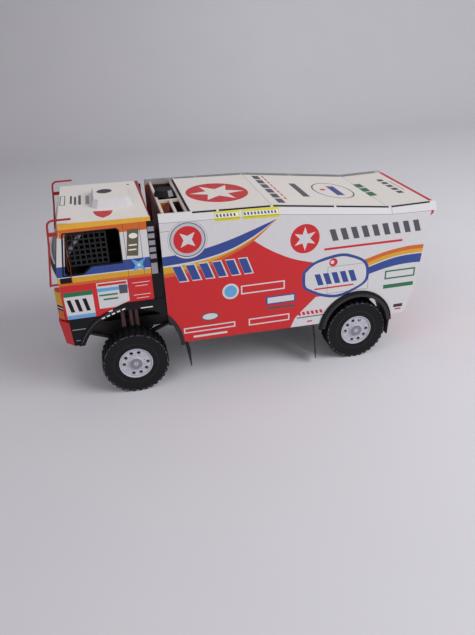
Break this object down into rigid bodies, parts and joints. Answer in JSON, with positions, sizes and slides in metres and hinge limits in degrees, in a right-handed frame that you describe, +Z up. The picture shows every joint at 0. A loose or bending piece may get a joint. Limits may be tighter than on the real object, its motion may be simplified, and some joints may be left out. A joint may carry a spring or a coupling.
{
  "type": "card_model_truck",
  "caption": "Printed card scale model of a four-wheeled desert rally support truck with an open bay, mud flaps and turning wheels",
  "frame": {"origin": "on the ground plane under the middle of the truck's box", "axes": "+X forward, +Y to the truck's left, +Z up"},
  "size_m": [0.2243, 0.0804, 0.1128],
  "materials": {
    "white_card": "matte",
    "red_card": "satin print",
    "dark_card": "matte",
    "grey_card": "matte",
    "interior_card": "matte",
    "orange_card": "matte",
    "tyre_card": "matte",
    "rim_card": "satin print",
    "red_wire": "gloss",
    "screen_film": "clear film"
  },
  "bodies": {
    "truck": {"air_filter": "grey_card", "bay_frame": "white_card", "bay_wall": "grey_card", "body_floor": "grey_card", "body_front_wall": "red_card", "body_rear_wall": "red_card", "body_roof": "white_card", "body_side_left": "white_card", "body_side_right": "white_card", "body_sills": "grey_card", "cab_floor": "dark_card", "cab_front": "white_card", "cab_rear_wall": "dark_card", "cab_roof": "white_card", "cab_side_left": "white_card", "cab_side_right": "white_card", "cab_step_left": "dark_card", "cab_step_right": "dark_card", "canister": "orange_card", "chassis_frame": "grey_card", "corner_lamp_left": "orange_card", "corner_lamp_right": "orange_card", "dashboard": "dark_card", "engine_block": "grey_card", "front_arch_left": "dark_card", "front_arch_right": "dark_card", "front_axle": "dark_card", "front_bumper": "red_card", "front_flap_left": "dark_card", "front_flap_right": "dark_card", "front_knuckle_left": "dark_card", "front_knuckle_right": "dark_card", "front_suspension": "grey_card", "guard_bar_left": "red_wire", "guard_bar_right": "red_wire", "prop_shafts": "dark_card", "rear_arch_left": "dark_card", "rear_arch_right": "dark_card", "rear_axle": "dark_card", "rear_suspension": "grey_card", "roll_cage": "white_card", "roof_pod": "white_card", "roof_ribs": "white_card", "seats": "interior_card", "side_vent_left": "dark_card", "side_vent_right": "dark_card", "window_net_left": "dark_card", "window_net_right": "dark_card", "windscreen": "screen_film"},
    "front_left_wheel": {"tyre_front_left": "tyre_card", "rim_front_left": "rim_card"},
    "front_right_wheel": {"tyre_front_right": "tyre_card", "rim_front_right": "rim_card"},
    "rear_left_wheel": {"tyre_rear_left": "tyre_card", "rim_rear_left": "rim_card"},
    "rear_right_wheel": {"tyre_rear_right": "tyre_card", "rim_rear_right": "rim_card"}
  },
  "joints": [
    {"name": "front_left_wheel_turn", "type": "hinge", "parent": "truck", "child": "front_left_wheel", "pos_m": [0.07222, 0.03195, 0.0196], "axis": [0, 1, 0], "continuous": true},
    {"name": "front_right_wheel_turn", "type": "hinge", "parent": "truck", "child": "front_right_wheel", "pos_m": [0.07222, -0.03195, 0.0196], "axis": [0, 1, 0], "continuous": true},
    {"name": "rear_left_wheel_turn", "type": "hinge", "parent": "truck", "child": "rear_left_wheel", "pos_m": [-0.06678, 0.03195, 0.0196], "axis": [0, 1, 0], "continuous": true},
    {"name": "rear_right_wheel_turn", "type": "hinge", "parent": "truck", "child": "rear_right_wheel", "pos_m": [-0.06678, -0.03195, 0.0196], "axis": [0, 1, 0], "continuous": true}
  ]
}
